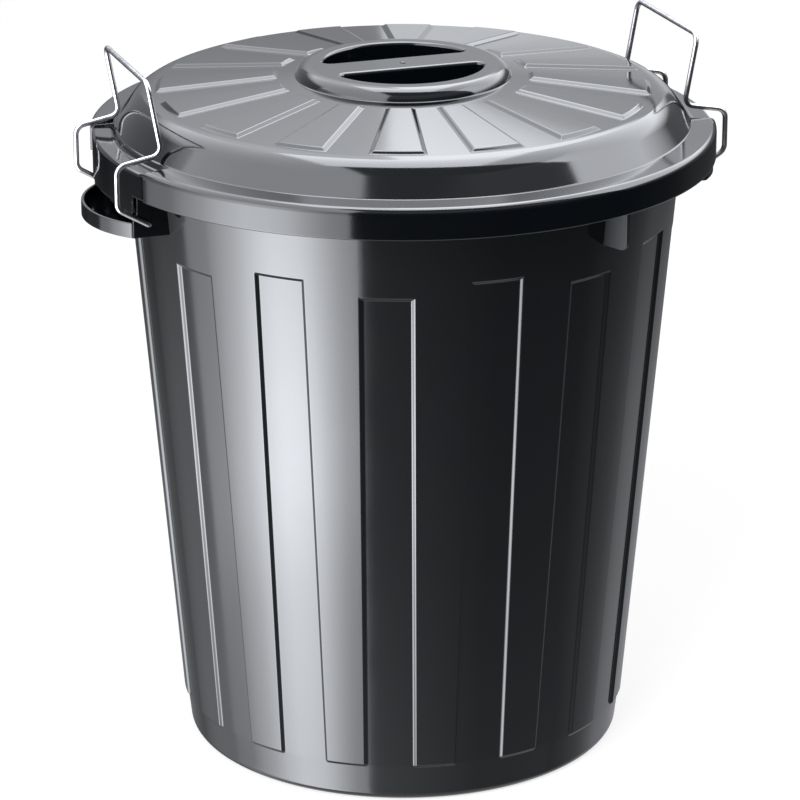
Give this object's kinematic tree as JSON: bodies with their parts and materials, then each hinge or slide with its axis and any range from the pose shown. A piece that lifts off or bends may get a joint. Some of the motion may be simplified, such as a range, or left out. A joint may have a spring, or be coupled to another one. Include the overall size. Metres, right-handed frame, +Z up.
{
  "type": "trash can",
  "caption": "Round flared plastic trash can with recessed wall strips, a domed lift-off lid with a finger-pocket grip, side carrying loops and swing-over wire clips that hold the lid.",
  "frame": {"origin": "on the floor, under the centre of the tub", "axes": "+Z up, X through both wire clips, with +X towards the right clip, and +Y across the bin"},
  "size_m": [0.5064, 0.4798, 0.5586],
  "materials": {
    "moulded_plastic": "glossy black injection moulding",
    "wire": "bright plated drawn wire"
  },
  "bodies": {
    "tub": {"tub": "moulded_plastic"},
    "lid": {"lid": "moulded_plastic"},
    "right_clip": {"right_clip": "wire"},
    "left_clip": {"left_clip": "wire"}
  },
  "joints": [
    {"name": "lid_lift", "type": "slide", "parent": "tub", "child": "lid", "axis": [0, 0, 1], "range_m": [0, 0.65]},
    {"name": "right_clip_swing", "type": "hinge", "parent": "tub", "child": "right_clip", "pos_m": [0.21851, 0, 0.4485], "axis": [0, 1, 0], "range_deg": [0, 140]},
    {"name": "left_clip_swing", "type": "hinge", "parent": "tub", "child": "left_clip", "pos_m": [-0.21851, 0, 0.4485], "axis": [0, -1, 0], "range_deg": [0, 140]}
  ]
}
